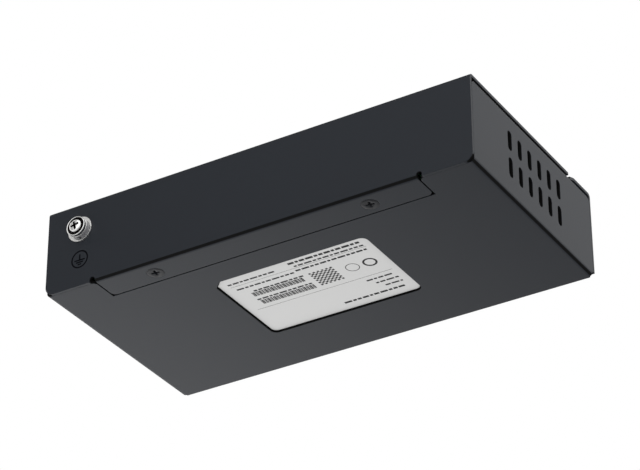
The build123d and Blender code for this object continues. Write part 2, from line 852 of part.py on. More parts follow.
lead_y = transformer_width / 2
lead_places = [
    x + (n - (lead_count - 1) / 2) * lead_pitch - lead_width / 2
    for x, y in transformer_places
    for n in range(lead_count)
]
with BuildPart() as transformer_leads:
    with BuildSketch(*[Plane.YZ.offset(x) for x in lead_places]):
        for hand in (-1, 1):
            with BuildLine():
                Polyline(
                    (transformer_y + hand * lead_y, board_top + lead_height),
                    (transformer_y + hand * (lead_y + lead_reach), board_top + lead_height),
                    (transformer_y + hand * (lead_y + lead_reach), board_top + lead_sheet / 2),
                    (transformer_y + hand * (lead_y + lead_reach + lead_foot), board_top + lead_sheet / 2),
                )
            trace(line_width=lead_sheet)
    extrude(amount=lead_width)
transformer_leads.part.label = "transformer_leads"
export_step(transformer_leads.part, "parts/transformer_leads.step")

# Switching chip, its soft pad and the finned heat sink on top
with BuildPart() as switch_chip:
    with BuildSketch(Plane.XY.offset(board_top)):
        with Locations((chip_shift, chip_y)):
            Rectangle(chip_side, chip_side)
    extrude(amount=chip_height)
    chamfer(switch_chip.edges().group_by(Axis.Z)[-1], chip_bevel)
switch_chip.part.label = "switch_chip"
export_step(switch_chip.part, "parts/switch_chip.step")

with BuildPart() as thermal_pad:
    with BuildSketch(Plane.XY.offset(chip_top)):
        with Locations((chip_shift, chip_y)):
            Rectangle(pad_side, pad_side)
    extrude(amount=pad_height)
thermal_pad.part.label = "thermal_pad"
export_step(thermal_pad.part, "parts/thermal_pad.step")

with BuildPart() as heat_sink:
    with BuildSketch(Plane.XY.offset(chip_top + pad_height)):
        with Locations((chip_shift, chip_y)):
            Rectangle(sink_side, sink_side)
    extrude(amount=sink_base)
    with BuildSketch(Plane.XY.offset(chip_top + pad_height + sink_base)):
        with Locations((chip_shift, chip_y)):
            with GridLocations((sink_side - fin_sheet) / (fin_count - 1), 0, fin_count, 1):
                Rectangle(fin_sheet, sink_side)
    extrude(amount=sink_height - sink_base)
heat_sink.part.label = "heat_sink"
export_step(heat_sink.part, "parts/heat_sink.step")

# Crystal in its can, with a flange around the foot
crystal_x = chip_shift + sink_side / 2 + crystal_gap + crystal_length / 2
with BuildPart() as crystal:
    with BuildSketch(Plane.XY.offset(board_top)):
        with Locations((crystal_x, chip_y)):
            SlotOverall(crystal_length, crystal_width)
    extrude(amount=sheet / 2)
    with BuildSketch(Plane.XY.offset(board_top + sheet / 2)):
        with Locations((crystal_x, chip_y)):
            SlotOverall(crystal_length - sheet, crystal_width - sheet)
    extrude(amount=crystal_height - sheet / 2)
crystal.part.label = "crystal"
export_step(crystal.part, "parts/crystal.step")

# Memory and regulator chips
memory_x = chip_shift - sink_side / 2 - memory_gap
with BuildPart() as memory_chip:
    with BuildSketch(Plane.XY.offset(board_top)):
        with Locations((memory_x, chip_y)):
            Rectangle(memory_length, memory_width)
    extrude(amount=memory_height)
    chamfer(memory_chip.edges().group_by(Axis.Z)[-1], chip_bevel)
memory_chip.part.label = "memory_chip"
export_step(memory_chip.part, "parts/memory_chip.step")

with BuildPart() as regulator_chip:
    with BuildSketch(Plane.XY.offset(board_top)):
        with Locations((power_x + (inductor_side + regulator_length) / 2 + power_gap, power_y)):
            Rectangle(regulator_length, regulator_width)
    extrude(amount=memory_height)
    chamfer(regulator_chip.edges().group_by(Axis.Z)[-1], chip_bevel)
regulator_chip.part.label = "regulator_chip"
export_step(regulator_chip.part, "parts/regulator_chip.step")

with BuildPart() as power_inductor:
    with BuildSketch(Plane.XY.offset(board_top)):
        with Locations((power_x, power_y)):
            RectangleRounded(inductor_side, inductor_side, inductor_corner)
    extrude(amount=inductor_height)
    chamfer(power_inductor.edges().group_by(Axis.Z)[-1], chip_bevel)
power_inductor.part.label = "power_inductor"
export_step(power_inductor.part, "parts/power_inductor.step")

# Electrolytic capacitors: round cans on square bases
capacitor_y = power_y + (inductor_side + capacitor_base) / 2 + power_gap
capacitor_places = [(power_x + n * capacitor_pitch, capacitor_y) for n in (-2, -1, 0)]
with BuildPart() as electrolytic_capacitors:
    with BuildSketch(Plane.XY.offset(board_top)):
        with Locations(*capacitor_places):
            Rectangle(capacitor_base, capacitor_base)
    extrude(amount=capacitor_base_height)
    with BuildSketch(Plane.XY.offset(board_top + capacitor_base_height)):
        with Locations(*capacitor_places):
            Circle(capacitor_radius)
    extrude(amount=capacitor_height - capacitor_base_height)
    fillet(electrolytic_capacitors.edges().group_by(Axis.Z)[-1], chip_bevel)
electrolytic_capacitors.part.label = "electrolytic_capacitors"
export_step(electrolytic_capacitors.part, "parts/electrolytic_capacitors.step")

# Ceramic capacitors around the switching chip
with BuildPart() as ceramic_capacitors:
    with BuildSketch(Plane.XY.offset(board_top)):
        with Locations((chip_shift, chip_y)):
            with PolarLocations(ceramic_ring_radius, ceramic_count):
                Rectangle(ceramic_length, ceramic_width)
    extrude(amount=ceramic_height)
ceramic_capacitors.part.label = "ceramic_capacitors"
export_step(ceramic_capacitors.part, "parts/ceramic_capacitors.step")
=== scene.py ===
import json
import math

import bpy
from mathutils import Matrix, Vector


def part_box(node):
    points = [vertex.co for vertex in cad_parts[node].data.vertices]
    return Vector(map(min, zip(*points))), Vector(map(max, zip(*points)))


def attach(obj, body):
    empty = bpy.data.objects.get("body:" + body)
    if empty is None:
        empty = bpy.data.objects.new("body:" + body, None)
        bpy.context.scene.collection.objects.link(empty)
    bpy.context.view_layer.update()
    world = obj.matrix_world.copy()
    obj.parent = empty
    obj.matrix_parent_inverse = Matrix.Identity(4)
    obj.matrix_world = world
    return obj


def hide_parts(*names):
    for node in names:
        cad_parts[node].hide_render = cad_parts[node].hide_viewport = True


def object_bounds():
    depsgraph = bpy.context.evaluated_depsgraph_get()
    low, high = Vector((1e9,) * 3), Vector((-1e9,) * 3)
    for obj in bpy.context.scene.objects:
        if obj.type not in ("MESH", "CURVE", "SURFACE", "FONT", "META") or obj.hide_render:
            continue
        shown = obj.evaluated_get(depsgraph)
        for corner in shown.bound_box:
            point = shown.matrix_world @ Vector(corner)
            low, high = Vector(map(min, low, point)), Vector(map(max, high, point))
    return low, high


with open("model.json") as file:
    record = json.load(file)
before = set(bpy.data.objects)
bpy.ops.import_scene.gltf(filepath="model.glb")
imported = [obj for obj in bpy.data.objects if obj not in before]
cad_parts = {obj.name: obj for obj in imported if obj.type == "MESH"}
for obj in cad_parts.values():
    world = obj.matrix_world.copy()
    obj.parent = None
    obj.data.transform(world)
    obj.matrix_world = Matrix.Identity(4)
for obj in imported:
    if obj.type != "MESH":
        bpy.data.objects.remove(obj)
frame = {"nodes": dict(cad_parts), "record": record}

# A desktop ethernet switch in a folded steel case, seen from below and behind.
# Metres. +Z is up, the sockets face -Y and the ground screw faces +Y.

cad_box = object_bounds()
MM = 0.001


# Modelling

def deselect():
    """Nothing selected, so that the next operator acts on its own piece alone."""
    bpy.ops.object.select_all(action="DESELECT")


def pick(piece):
    """Makes the piece the only one selected, and the active one."""
    deselect()
    piece.select_set(True)
    bpy.context.view_layer.objects.active = piece


def settle(piece):
    """Puts the piece's place, turn and size into its mesh."""
    pick(piece)
    bpy.ops.object.transform_apply(location=True, rotation=True, scale=True)


def open_editing(piece):
    """Opens the piece for editing, with all its points selected."""
    pick(piece)
    bpy.ops.object.mode_set(mode="EDIT")
    bpy.ops.mesh.select_mode(type="VERT")
    bpy.ops.mesh.select_all(action="SELECT")


def close_editing():
    bpy.ops.object.mode_set(mode="OBJECT")


def mark(piece, test):
    """Opens the piece for editing, with only the faces selected whose normal passes the test."""
    pick(piece)
    bpy.ops.object.mode_set(mode="EDIT")
    bpy.ops.mesh.select_mode(type="FACE")
    bpy.ops.mesh.select_all(action="DESELECT")
    bpy.ops.object.mode_set(mode="OBJECT")
    for face in piece.data.polygons:
        face.select = test(face.normal)
    bpy.ops.object.mode_set(mode="EDIT")


def narrow(share):
    """Shrinks what is selected to a share of its width, both ways."""
    bpy.ops.transform.resize(value=(share, share, 1))


def lengthen(depth):
    """Extrudes what is selected downwards."""
    bpy.ops.mesh.extrude_region_move(TRANSFORM_OT_translate={"value": (0, 0, -depth)})


def apply_modifier(piece, kind, **settings):
    """Gives the piece a modifier with these settings, and applies it."""
    pick(piece)
    modifier = piece.modifiers.new(kind.lower(), kind)
    for name, value in settings.items():
        setattr(modifier, name, value)
    bpy.ops.object.modifier_apply(modifier=modifier.name)


def combine(piece, other, operation):
    """Welds the other piece to this one, or cuts it out of it. Nothing else is left of the other one."""
    apply_modifier(piece, "BOOLEAN", operation=operation, solver="EXACT", object=other)
    bpy.data.objects.remove(other)


def join(pieces, name):
    """Several meshes as one piece."""
    deselect()
    for piece in pieces:
        piece.select_set(True)
    bpy.context.view_layer.objects.active = pieces[0]
    bpy.ops.object.join()
    joined = bpy.context.view_layer.objects.active
    joined.name = name
    return joined


# Shader parts

def link(tree, output, target):
    tree.links.new(output, target)


def add_node(tree, kind, **settings):
    """A node whose settings are values of its inputs, or properties of its own."""
    node = tree.nodes.new(kind)
    for name, value in settings.items():
        if name in node.inputs:
            node.inputs[name].default_value = value
        else:
            setattr(node, name, value)
    return node


def add_math(tree, operation, first, second):
    """A Math node whose two inputs are numbers or outputs."""
    node = add_node(tree, "ShaderNodeMath", operation=operation)
    for socket, value in zip(node.inputs, (first, second)):
        if isinstance(value, (int, float)):
            socket.default_value = value
        else:
            link(tree, value, socket)
    return node.outputs[0]


def add_scaled(tree, color, factor):
    """The colour, made lighter or darker by the factor."""
    node = add_node(tree, "ShaderNodeVectorMath", operation="SCALE")
    link(tree, color, node.inputs[0])
    link(tree, factor, node.inputs["Scale"])
    return node.outputs[0]


def add_spread(tree, middle, noise, width):
    """The middle value, moved up and down by the noise, over the width in all."""
    shift = add_math(tree, "MULTIPLY", noise, width)
    return add_math(tree, "SUBTRACT", add_math(tree, "ADD", shift, middle), width / 2)


def add_relief(tree, strength, height, rounding, depth):
    """The normal of corners with a rounding, and of a relief that is this deep at full strength."""
    corners = add_node(tree, "ShaderNodeBevel", samples=4, Radius=rounding)
    bump = add_node(tree, "ShaderNodeBump", Distance=depth)
    link(tree, strength, bump.inputs["Strength"])
    link(tree, height, bump.inputs["Height"])
    link(tree, corners.outputs[0], bump.inputs["Normal"])
    return bump.outputs[0]


def add_ramp(tree, value, start, end, first, last):
    """A straight change from first to last, as the value goes from start to end."""
    ramp = add_node(tree, "ShaderNodeMapRange")
    for label, number in (("From Min", start), ("From Max", end), ("To Min", first), ("To Max", last)):
        ramp.inputs[label].default_value = number
    link(tree, value, ramp.inputs["Value"])
    return ramp.outputs["Result"]


def new_group(name, inputs, outputs):
    """A shader node group with named sockets, each with its kind."""
    group = bpy.data.node_groups.new(name, "ShaderNodeTree")
    for way, sockets in (("INPUT", inputs), ("OUTPUT", outputs)):
        for label, kind in sockets.items():
            group.interface.new_socket(name=label, in_out=way, socket_type="NodeSocket" + kind)
    return group, group.nodes.new("NodeGroupInput"), group.nodes.new("NodeGroupOutput")


# Surface effects

SURFACE = {"Color": "Color", "Roughness": "Float", "Normal": "Vector"}

COAT_CLOUDS = 30.0
COAT_SHINE_SPREAD = 0.12
COAT_ROUNDING = 0.18 * MM
COAT_RELIEF = 0.02 * MM


def make_coat_group():
    """Powder coat: a fine pebbled skin, a slow drift of tone, and corners rounded by the coat's thickness."""
    inputs = dict.fromkeys(("Drift", "Grain", "Relief", "Roughness"), "Float")
    group, entry, result = new_group("powder_coat", {"Vector": "Vector", "Color": "Color", **inputs}, SURFACE)
    pebbles = add_node(group, "ShaderNodeTexNoise", Detail=2.0, Roughness=0.5)
    link(group, entry.outputs["Vector"], pebbles.inputs["Vector"])
    link(group, entry.outputs["Grain"], pebbles.inputs["Scale"])
    clouds = add_node(group, "ShaderNodeTexNoise", Scale=COAT_CLOUDS, Detail=2.0)
    link(group, entry.outputs["Vector"], clouds.inputs["Vector"])
    cloud = add_math(group, "SUBTRACT", clouds.outputs["Fac"], 0.5)
    speckle = add_math(group, "SUBTRACT", pebbles.outputs["Fac"], 0.5)
    drift = add_math(group, "MULTIPLY", add_math(group, "ADD", cloud, speckle), entry.outputs["Drift"])
    toned = add_scaled(group, entry.outputs["Color"], add_math(group, "ADD", drift, 1.0))
    rough = add_spread(group, entry.outputs["Roughness"], pebbles.outputs["Fac"], COAT_SHINE_SPREAD)
    normal = add_relief(group, entry.outputs["Relief"], pebbles.outputs["Fac"], COAT_ROUNDING, COAT_RELIEF)
    link(group, toned, result.inputs["Color"])
    link(group, rough, result.inputs["Roughness"])
    link(group, normal, result.inputs["Normal"])
    return group


METAL_CLOUDS = 180.0
METAL_DRIFT = 0.2
METAL_SHINE_SPREAD = 0.16
METAL_ROUNDING = 0.12 * MM
METAL_RELIEF = 0.01 * MM
GROOVE_SHADE_TONE = 0.03  # what the painted shade in a groove leaves of the metal's colour


def make_metal_group():
    """Machined or rolled metal: fine streaks in shine and relief, a slow drift of tone, corners just broken,
    and painted shade: the colour darkened by ambient occlusion in the grooves and under neighbouring parts."""
    inputs = dict.fromkeys(("Roughness", "Relief", "Shade Start", "Shade End", "Shade Reach"), "Float")
    inputs = {"Vector": "Vector", "Color": "Color", "Stretch": "Vector", **inputs}
    group, entry, result = new_group("metal_streaks", inputs, SURFACE)
    drawn = add_node(group, "ShaderNodeVectorMath", operation="MULTIPLY")
    link(group, entry.outputs["Vector"], drawn.inputs[0])
    link(group, entry.outputs["Stretch"], drawn.inputs[1])
    streaks = add_node(group, "ShaderNodeTexNoise", Scale=1.0, Detail=3.0)
    link(group, drawn.outputs[0], streaks.inputs["Vector"])
    clouds = add_node(group, "ShaderNodeTexNoise", Scale=METAL_CLOUDS, Detail=2.0)
    link(group, entry.outputs["Vector"], clouds.inputs["Vector"])
    cloud = add_math(group, "SUBTRACT", clouds.outputs["Fac"], 0.5)
    drift = add_math(group, "MULTIPLY", cloud, METAL_DRIFT)
    toned = add_scaled(group, entry.outputs["Color"], add_math(group, "ADD", drift, 1.0))
    # Painted shade: ambient occlusion, from neighbouring parts too, darkens the colour in grooves and under
    # the screw head.
    shade_occlusion = add_node(group, "ShaderNodeAmbientOcclusion", samples=8)
    link(group, entry.outputs["Shade Reach"], shade_occlusion.inputs["Distance"])
    shade_share = add_node(group, "ShaderNodeMapRange", interpolation_type="SMOOTHSTEP")
    shade_share.inputs["To Min"].default_value = GROOVE_SHADE_TONE
    link(group, entry.outputs["Shade Start"], shade_share.inputs["From Min"])
    link(group, entry.outputs["Shade End"], shade_share.inputs["From Max"])
    link(group, shade_occlusion.outputs["AO"], shade_share.inputs["Value"])
    shaded_color = add_scaled(group, toned, shade_share.outputs["Result"])
    rough = add_spread(group, entry.outputs["Roughness"], streaks.outputs["Fac"], METAL_SHINE_SPREAD)
    normal = add_relief(group, entry.outputs["Relief"], streaks.outputs["Fac"], METAL_ROUNDING, METAL_RELIEF)
    link(group, shaded_color, result.inputs["Color"])
    link(group, rough, result.inputs["Roughness"])
    link(group, normal, result.inputs["Normal"])
    return group


COAT_DEPTH = 0.15 * MM  # the painted shade inside starts this far in from the case's outer faces
GROOVE_FLOOR = 30.9 * MM
GROOVE_BACK = -25.4 * MM
COVER_UNDERSIDE = 31.2 * MM
LABEL_GAP = 0.45 * MM
LABEL_GAP_EDGE = 0.02 * MM  # the painted shade in the gap starts this far above the underside


def inside_boxes():
    """The low and high corners of the boxes that get painted shade: what lies inside up to the groove in the
    top, what lies behind the groove up to the underside of the cover, and the narrow gap around the label in
    its recess."""
    (tray_low, tray_high), (cover_low, cover_high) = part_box("base_tray"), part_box("top_cover")
    low = [min(a, b) + COAT_DEPTH for a, b in zip(tray_low, cover_low)]
    high = [max(a, b) - COAT_DEPTH for a, b in zip(tray_high, cover_high)]
    label_low, label_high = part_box("rating_label")
    gap_low = (label_low[0] - LABEL_GAP, label_low[1] - LABEL_GAP, cad_box[0][2] + LABEL_GAP_EDGE)
    gap_high = (label_high[0] + LABEL_GAP, label_high[1] + LABEL_GAP, label_high[2] + LABEL_GAP)
    return [
        (low, (high[0], high[1], GROOVE_FLOOR)),
        ((low[0], GROOVE_BACK, low[2]), (high[0], high[1], COVER_UNDERSIDE)),
        (gap_low, gap_high),
    ]


def make_inside_group():
    """Where shade is painted: 1 on what lies in an inside box, such as the cut edges of the vents, and 0 on
    what faces out.
    """
    group, entry, result = new_group("inside_shade_mask", {"Vector": "Vector"}, {"Mask": "Float"})
    mask = 0.0
    for low, high in inside_boxes():
        centred = add_node(group, "ShaderNodeVectorMath", operation="SUBTRACT")
        link(group, entry.outputs["Vector"], centred.inputs[0])
        centred.inputs[1].default_value = [(a + b) / 2 for a, b in zip(low, high)]
        reach = add_node(group, "ShaderNodeVectorMath", operation="ABSOLUTE")
        link(group, centred.outputs[0], reach.inputs[0])
        split = add_node(group, "ShaderNodeSeparateXYZ")
        link(group, reach.outputs[0], split.inputs[0])
        within = 1.0
        for axis, start, end in zip("XYZ", low, high):
            near = add_math(group, "LESS_THAN", split.outputs[axis], (end - start) / 2)
            within = add_math(group, "MULTIPLY", near, within)
        mask = add_math(group, "MAXIMUM", within, mask)
    link(group, mask, result.inputs["Mask"])
    return group


POWDER_COAT = make_coat_group()
METAL_STREAKS = make_metal_group()
INSIDE_SHADE_MASK = make_inside_group()


# Finishes

def new_material(name, group, settings, metallic=0.0, specular=0.5):
    """A material of one surface effect and one Principled shader."""
    material = bpy.data.materials.new(name)
    material.use_nodes = True
    tree = material.node_tree
    shader = tree.nodes["Principled BSDF"]
    shader.inputs["Metallic"].default_value = metallic
    shader.inputs["Specular IOR Level"].default_value = specular
    place = add_node(tree, "ShaderNodeTexCoord", name="place")
    effect = add_node(tree, "ShaderNodeGroup", node_tree=group, name="effect")
    for label, value in settings.items():
        effect.inputs[label].default_value = value
    link(tree, place.outputs["Object"], effect.inputs["Vector"])
    link(tree, effect.outputs["Color"], shader.inputs["Base Color"])
    link(tree, effect.outputs["Roughness"], shader.inputs["Roughness"])
    link(tree, effect.outputs["Normal"], shader.inputs["Normal"])
    return material


def coated(name, color, roughness=0.5, grain=2200.0, relief=0.25, drift=0.06, specular=0.5):
    """Paint, moulding or print."""
    settings = {"Color": color, "Roughness": roughness, "Grain": grain, "Relief": relief, "Drift": drift}
    return new_material(name, POWDER_COAT, settings, specular=specular)


ROLLED = (400.0, 4000.0, 4000.0)  # streaks along X
EVEN_GRAIN = (2500.0, 2500.0, 2500.0)
# Painted shade in grooves: full where this share of the surroundings is open, gone at this share, and how far
# round it looks in millimetres
DEEP_GROOVE_SHADE = (0.2, 0.6, 0.9)
WIDE_GROOVE_SHADE = (0.65, 0.93, 1.8)


def bare_metal(name, color, roughness=0.2, relief=0.1, stretch=ROLLED, groove_shade=DEEP_GROOVE_SHADE):
    """Bare metal, with painted shade in its grooves."""
    start, end, reach = groove_shade
    settings = {"Color": color, "Roughness": roughness, "Relief": relief, "Stretch": stretch}
    settings.update({"Shade Start": start, "Shade End": end, "Shade Reach": reach * MM})
    return new_material(name, METAL_STREAKS, settings, metallic=1.0)


CASE_DARK = (0.0095, 0.0128, 0.0190, 1)
# near-black painted shade for what lies inside the case, under the cover's edge and in the gap round the
# label
INSIDE_SHADE = (0.0015, 0.0016, 0.0018, 1)


def make_case_paint():
    """Dark satin powder coat, with painted shade: black and dull on what lies inside the case."""
    material = coated(
        "case_paint", CASE_DARK, roughness=0.46, grain=2400.0, relief=0.22, drift=0.10, specular=0.20
    )
    tree = material.node_tree
    shader, effect = tree.nodes["Principled BSDF"], tree.nodes["effect"]
    inside = add_node(tree, "ShaderNodeGroup", node_tree=INSIDE_SHADE_MASK)
    link(tree, tree.nodes["place"].outputs["Object"], inside.inputs["Vector"])
    # Painted shade: the inside boxes take the near-black colour in place of the coat.
    shade = add_node(tree, "ShaderNodeMix", data_type="RGBA")
    link(tree, inside.outputs["Mask"], shade.inputs["Factor"])
    link(tree, effect.outputs["Color"], shade.inputs["A"])
    shade.inputs["B"].default_value = INSIDE_SHADE
    link(tree, shade.outputs["Result"], shader.inputs["Base Color"])
    dull = add_math(tree, "MAXIMUM", effect.outputs["Roughness"], inside.outputs["Mask"])
    link(tree, dull, shader.inputs["Roughness"])
    return material


MASK_GREEN = (0.012, 0.10, 0.035, 1)
MASK_PALER = (0.014, 0.12, 0.042, 1)
TRACK_GREEN = (0.03, 0.19, 0.06, 1)


def make_board_mask():
    """Green solder mask over etched tracks."""
    material = coated("board_mask", MASK_GREEN, roughness=0.3, grain=900.0, relief=0.05, drift=0.2)
    tree = material.node_tree
    tracks = add_node(tree, "ShaderNodeTexBrick", Scale=260.0, Color1=MASK_GREEN, Color2=MASK_PALER)
    tracks.offset = 0.5
    tracks.inputs["Mortar Size"].default_value = 0.06
    tracks.inputs["Mortar"].default_value = TRACK_GREEN
    link(tree, tree.nodes["place"].outputs["Object"], tracks.inputs["Vector"])
    link(tree, tracks.outputs["Color"], tree.nodes["effect"].inputs["Color"])
    return material


def make_guide_clear():
    """Clear moulded arms of the light guides, a little milky."""
    material = coated(
        "guide_clear", (0.80, 0.84, 0.83, 1), roughness=0.25, grain=500.0, relief=0.05, drift=0.03
    )
    shader = material.node_tree.nodes["Principled BSDF"]
    shader.inputs["Transmission Weight"].default_value = 0.55
    shader.inputs["IOR"].default_value = 1.49
    return material


SLOT_FINISH = {
    "case_paint": make_case_paint(),
    "nickel": bare_metal(
        "nickel", (0.93, 0.925, 0.91, 1), roughness=0.16, relief=0.06, stretch=EVEN_GRAIN, groove_shade=WIDE_GROOVE_SHADE
    ),
    "zinc": bare_metal("zinc", (0.58, 0.59, 0.60, 1), roughness=0.32, relief=0.12),
    "shield_tin": bare_metal("shield_tin", (0.62, 0.62, 0.61, 1), roughness=0.28),
    "contact_gold": bare_metal("contact_gold", (0.78, 0.52, 0.17, 1), roughness=0.18, relief=0.05),
    "lead_tin": bare_metal("lead_tin", (0.60, 0.60, 0.60, 1), roughness=0.3, relief=0.08),
    "sink_aluminium": bare_metal("sink_aluminium", (0.66, 0.67, 0.68, 1), roughness=0.36, relief=0.15),
    "black_screw": coated(
        "black_screw", (0.006, 0.007, 0.010, 1), roughness=0.46, grain=3500.0, relief=0.12, specular=0.18
    ),
    "label_film": coated(
        "label_film", (0.595, 0.595, 0.59, 1), roughness=0.45, grain=1500.0, relief=0.04, drift=0.02
    ),
    "black_nylon": coated("black_nylon", (0.012, 0.012, 0.013, 1), grain=1800.0, relief=0.2),
    "led_lens": coated("led_lens", (0.70, 0.72, 0.45, 1), roughness=0.2, relief=0.02),
    "chip_black": coated("chip_black", (0.016, 0.016, 0.017, 1), roughness=0.6, grain=3000.0, relief=0.3),
    "pad_soft": coated("pad_soft", (0.35, 0.40, 0.48, 1), roughness=0.8, grain=1200.0, relief=0.3),
    "ceramic_tan": coated("ceramic_tan", (0.42, 0.28, 0.17, 1), roughness=0.55, grain=3000.0, relief=0.1),
    "board_mask": make_board_mask(),
    "guide_clear": make_guide_clear(),
}

# The earthing point's washers: a bright flat one under a dark spring washer, dark steel whose tone is partly
# painted shade under the screw head
WASHER_FINISH = {
    "ground_flat_washer": bare_metal(
        "washer_nickel", (0.96, 0.955, 0.94, 1), roughness=0.24, stretch=EVEN_GRAIN
    ),
    # dark spring steel, its tone partly painted shade under the screw head
    "ground_spring_washer": bare_metal(
        "spring_steel_and_shade", (0.16, 0.16, 0.17, 1), roughness=0.34, stretch=EVEN_GRAIN
    ),
}

MARK_PRINT = coated(
    "mark_print", (0.002, 0.0025, 0.004, 1), roughness=0.8, grain=3000.0, relief=0.05, specular=0.02
)
LABEL_PRINT = coated(
    "label_print", (0.010, 0.010, 0.011, 1), roughness=0.55, grain=3000.0, relief=0.05, specular=0.2
)
NUMBER_PRINT = coated("number_print", (0.62, 0.63, 0.64, 1), grain=3000.0, relief=0.05)


def dress_nodes():
    """Each node of the frame gets the finish of its slot, and each washer its own."""
    for entry in frame["record"]["subparts"]:
        node = frame["nodes"][entry["node"]]
        finish = WASHER_FINISH.get(entry["node"], SLOT_FINISH[entry["material_slot"]])
        if not node.material_slots:
            node.data.materials.append(finish)
        for place in node.material_slots:
            place.material = finish


def dress(piece, material):
    """Gives a finished piece its finish, and lets it ride on the switch."""
    piece.data.materials.clear()
    piece.data.materials.append(material)
    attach(piece, "root")


# Print

PRINT_THICKNESS = 0.015 * MM


def flat_bar(width, height, place, corner=0.0):
    """A bar of print in the XY plane."""
    bpy.ops.mesh.primitive_plane_add(size=1, location=place)
    bar = bpy.context.object
    bar.scale = (width, height, 1)
    settle(bar)
    if corner:
        open_editing(bar)
        bpy.ops.mesh.bevel(offset=corner, segments=3, affect="VERTICES")
        close_editing()
    return bar


def flat_ring(radius, line, place):
    """A ring of print in the XY plane."""
    bpy.ops.mesh.primitive_circle_add(vertices=72, radius=radius, fill_type="NGON", location=place)
    ring = bpy.context.object
    settle(ring)
    open_editing(ring)
    bpy.ops.mesh.inset(thickness=line)
    bpy.ops.mesh.delete(type="FACE")
    close_editing()
    return ring


def thicken(piece):
    """Gives flat print its thickness, away from the face that it lies on."""
    apply_modifier(piece, "SOLIDIFY", thickness=PRINT_THICKNESS, offset=1.0)


# Earth sign under the ground screw: a ring, a stem and three bars. Each bar has its width, its height and its
# place above the ring's centre, in millimetres
SIGN_RADIUS = 3.35 * MM
SIGN_LINE = 0.52 * MM
SIGN_BARS = [(0.52, 2.2, 0.75), (4.2, 0.50, -0.35), (2.8, 0.50, -1.15), (1.4, 0.50, -1.95)]
SIGN_CORNER = 0.1 * MM
SIGN_DROP = 11.2 * MM  # below the screw's axis


def make_earth_sign():
    low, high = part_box("ground_flat_washer")
    shapes = [flat_ring(SIGN_RADIUS, SIGN_LINE, (0, 0, 0))]
    for width, height, up in SIGN_BARS:
        shapes.append(flat_bar(width * MM, height * MM, (0, up * MM, 0), SIGN_CORNER))
    sign = join(shapes, "earth_sign")
    thicken(sign)
    sign.rotation_euler = (math.pi / 2, 0, math.pi)
    sign.location = ((low[0] + high[0]) / 2, low[1], (low[2] + high[2]) / 2 - SIGN_DROP)
    settle(sign)
    dress(sign, MARK_PRINT)


# Print of the rating label, none of it lettering: rules, rows of plain dashes, fields of stripes, a chequered
# square and two rings. All is in millimetres: from and to, along the label from its chamfered end, then the
# way down from its rear edge, and the height
LABEL_RULES = [(3.0, 54.5, 5.7, 0.10), (3.0, 54.5, 22.4, 0.12)]
LABEL_ROWS = [
    (3.0, 21.0, 3.6, 0.8),
    (27.0, 54.0, 1.9, 1.1),
    (28.0, 54.0, 4.3, 0.8),
    (27.0, 54.5, 6.9, 0.9),
    (4.0, 26.0, 7.6, 0.8),
    (8.5, 27.5, 10.9, 0.8),
    (6.5, 27.5, 16.4, 0.8),
    (43.5, 54.0, 24.6, 0.8),
    (45.5, 54.0, 27.3, 0.8),
    (47.5, 54.0, 30.0, 0.8),
    (30.0, 54.0, 33.2, 1.0),
]
DASH_LENGTHS = (1.5, 2.3, 1.1, 1.9, 2.8, 1.3)
DASH_GAP = 0.45
DASH_LEAST = 0.8  # no dash starts nearer to the end of its row
DASH_CORNER = 0.15
LABEL_STRIPES = [(7.0, 26.0, 12.0, 2.6), (7.0, 27.5, 17.6, 2.6)]
STRIPE_WIDTHS = (0.30, 0.55, 0.22, 0.42)
STRIPE_GAP = 0.55  # share of the width of the stripe after the next
CHECK_PLACE = (29.5, 11.0)
CHECK_CELL = 0.8
CHECK_COUNT = 11
LABEL_RINGS = [(44.0, 15.0, 2.4, 0.25), (50.5, 15.0, 2.5, 0.7)]  # along, down, radius, line


def make_label_print():
    low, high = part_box("rating_label")
    shapes = []

    def stroke(start, end, down, height, corner=0.0):
        """A bar from start to end along the label, with its rear side down from the label's rear edge."""
        middle = (high[0] - (start + end) / 2 * MM, high[1] - (down + height / 2) * MM, 0)
        shapes.append(flat_bar((end - start) * MM, height * MM, middle, corner * MM))

    for start, end, down, height in LABEL_RULES:
        stroke(start, end, down, height)
    for row, (at, end, down, height) in enumerate(LABEL_ROWS):
        count = row
        while at < end - DASH_LEAST:
            length = min(DASH_LENGTHS[count % len(DASH_LENGTHS)], end - at)
            stroke(at, at + length, down, height, DASH_CORNER)
            at += length + DASH_GAP
            count += 1
    for at, end, down, height in LABEL_STRIPES:
        count = 0
        while at < end:
            width = STRIPE_WIDTHS[count % len(STRIPE_WIDTHS)]
            stroke(at, at + width, down, height)
            at += width + STRIPE_GAP * STRIPE_WIDTHS[(count + 2) % len(STRIPE_WIDTHS)]
            count += 1
    for column in range(CHECK_COUNT):
        for line in range(CHECK_COUNT):
            if (column + line) % 2 == 0:
                start = CHECK_PLACE[0] + column * CHECK_CELL
                stroke(start, start + CHECK_CELL, CHECK_PLACE[1] + line * CHECK_CELL, CHECK_CELL)
    for along, down, radius, line in LABEL_RINGS:
        shapes.append(flat_ring(radius * MM, line * MM, (high[0] - along * MM, high[1] - down * MM, 0)))
    label_print = join(shapes, "label_print")
    thicken(label_print)
    label_print.location = (0, 0, low[2] - PRINT_THICKNESS)
    settle(label_print)
    dress(label_print, LABEL_PRINT)


# Plain numbers over the sockets
NUMBER_SIZE = 2.3 * MM
NUMBER_HEIGHT = 28.1 * MM


